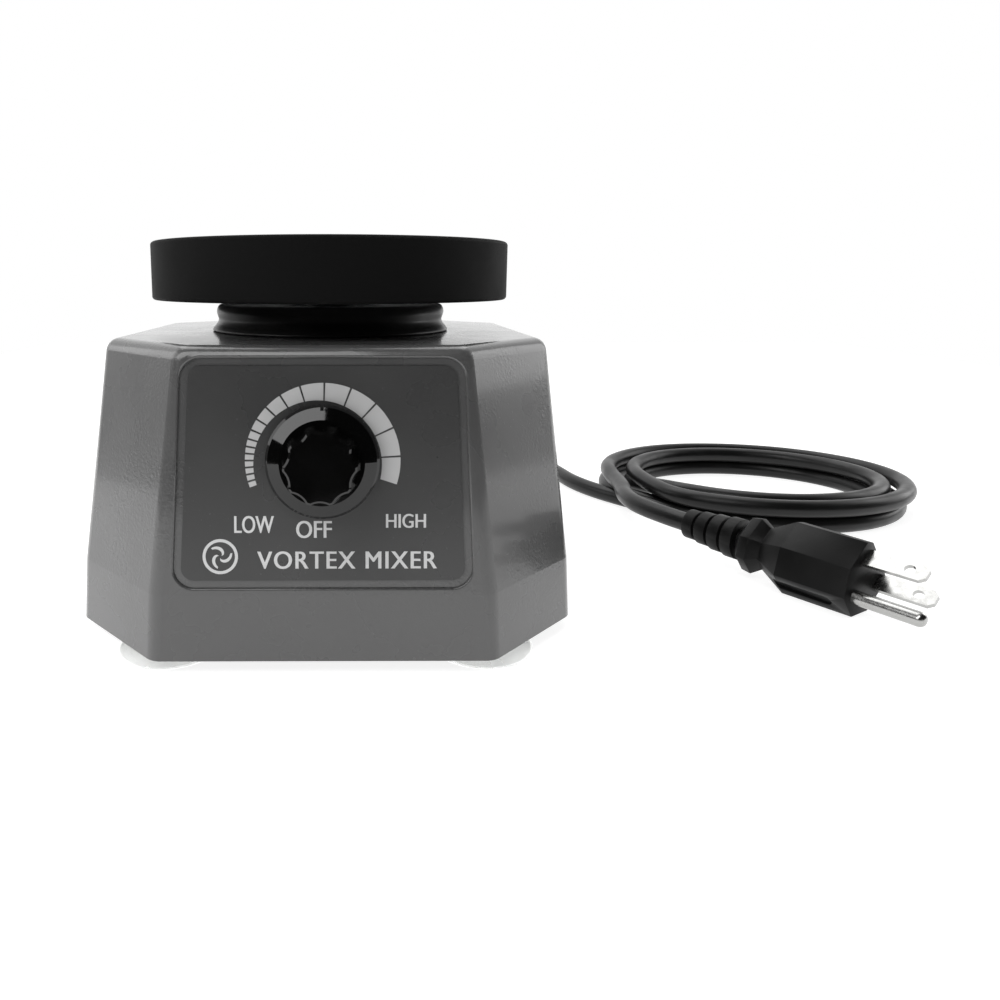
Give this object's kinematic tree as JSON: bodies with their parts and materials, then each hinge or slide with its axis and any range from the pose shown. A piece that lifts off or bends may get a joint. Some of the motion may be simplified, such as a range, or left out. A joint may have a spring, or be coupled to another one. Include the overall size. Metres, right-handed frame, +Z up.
{
  "type": "vortex mixer",
  "caption": "Bench mixer with a cast eight-sided housing, a round rubber-topped platform that a motor moves in a small circle, a front speed knob, suction feet and a mains lead.",
  "frame": {"origin": "on the table, midway between the four suction feet and under the middle of the housing", "axes": "+Z up, the knob and dial panel face -Y, +X is to the right as seen from the front"},
  "size_m": [0.3554, 0.2803, 0.122],
  "materials": {
    "housing_paint": "hammered gloss enamel",
    "sheet_steel": "satin black enamel",
    "suction_rubber": "clear milky vinyl",
    "panel_print": "smooth dark grey",
    "knob_plastic": "gloss black",
    "platform_rubber": "matt black",
    "boot_rubber": "satin black",
    "isolator_rubber": "black",
    "cast_aluminium": "as cast and turned",
    "zinc_screws": "bright zinc plate",
    "ground_steel": "ground",
    "crank_iron": "machined",
    "laminations": "varnished laminations",
    "copper": "enamelled copper",
    "bronze": "sintered bronze",
    "white_plastic": "natural nylon",
    "black_plastic": "black phenolic",
    "control_case": "moulded case",
    "board": "green solder mask",
    "cord_jacket": "satin black vinyl",
    "plug_vinyl": "moulded black vinyl",
    "plug_metal": "nickel plated brass"
  },
  "bodies": {
    "housing": {"housing": "housing_paint", "base_plate": "sheet_steel", "suction_foot_front_left": "suction_rubber", "suction_foot_front_right": "suction_rubber", "suction_foot_rear_left": "suction_rubber", "suction_foot_rear_right": "suction_rubber", "dial_panel": "panel_print", "boot": "boot_rubber", "motor_isolators": "isolator_rubber", "lower_bracket": "cast_aluminium", "upper_bracket": "cast_aluminium", "heat_sink": "cast_aluminium", "base_screws": "zinc_screws", "motor_bolts": "zinc_screws", "motor_nuts": "zinc_screws", "board_screws": "zinc_screws", "speed_control_nut": "zinc_screws", "speed_control_washer": "zinc_screws", "fuse_nut": "zinc_screws", "lower_spacers": "ground_steel", "upper_spacers": "ground_steel", "stator_core": "laminations", "field_winding": "copper", "shading_rings": "copper", "choke": "copper", "lower_bearing": "bronze", "upper_bearing": "bronze", "coil_bobbin": "white_plastic", "terminal_block": "white_plastic", "board_standoffs": "white_plastic", "fuse_holder": "black_plastic", "triac": "black_plastic", "speed_control_body": "control_case", "capacitor": "control_case", "control_board": "board", "cord": "cord_jacket", "cord_coil": "cord_jacket", "cord_end": "cord_jacket", "strain_relief": "cord_jacket", "plug_body": "plug_vinyl", "plug_blades": "plug_metal", "plug_ground_pin": "plug_metal"},
    "rotor": {"motor_shaft": "ground_steel", "rotor": "laminations", "cooling_fan": "white_plastic", "crank": "crank_iron", "crank_set_screw": "zinc_screws", "crank_pin": "ground_steel", "pin_washer": "zinc_screws", "pin_screw": "zinc_screws"},
    "platform": {"platform_disc": "cast_aluminium", "platform_bearing": "ground_steel", "bearing_clip": "ground_steel", "platform_cover": "platform_rubber"},
    "knob": {"knob": "knob_plastic", "knob_set_screw": "zinc_screws", "speed_control_shaft": "ground_steel"},
    "fuse_cap": {"fuse_cap": "black_plastic"}
  },
  "joints": [
    {"name": "motor_spin", "type": "hinge", "parent": "housing", "child": "rotor", "pos_m": [0, 0, 0.05], "axis": [0, 0, 1], "continuous": true, "deforming": ["boot"]},
    {"name": "platform_orbit", "type": "hinge", "parent": "rotor", "child": "platform", "pos_m": [0, 0.002, 0.1095], "axis": [0, 0, 1], "continuous": true},
    {"name": "knob_turn", "type": "hinge", "parent": "housing", "child": "knob", "pos_m": [0, -0.07192, 0.06028], "axis": [0, -0.9941, 0.1088], "range_deg": [-109, 172]},
    {"name": "fuse_cap_turn", "type": "hinge", "parent": "housing", "child": "fuse_cap", "pos_m": [-0.033, 0.07382, 0.04288], "axis": [0, 0.9941, 0.1088], "range_deg": [0, 90]}
  ],
  "couplings": [
    {"joint": "platform_orbit", "follows": "motor_spin", "ratio": -1}
  ]
}
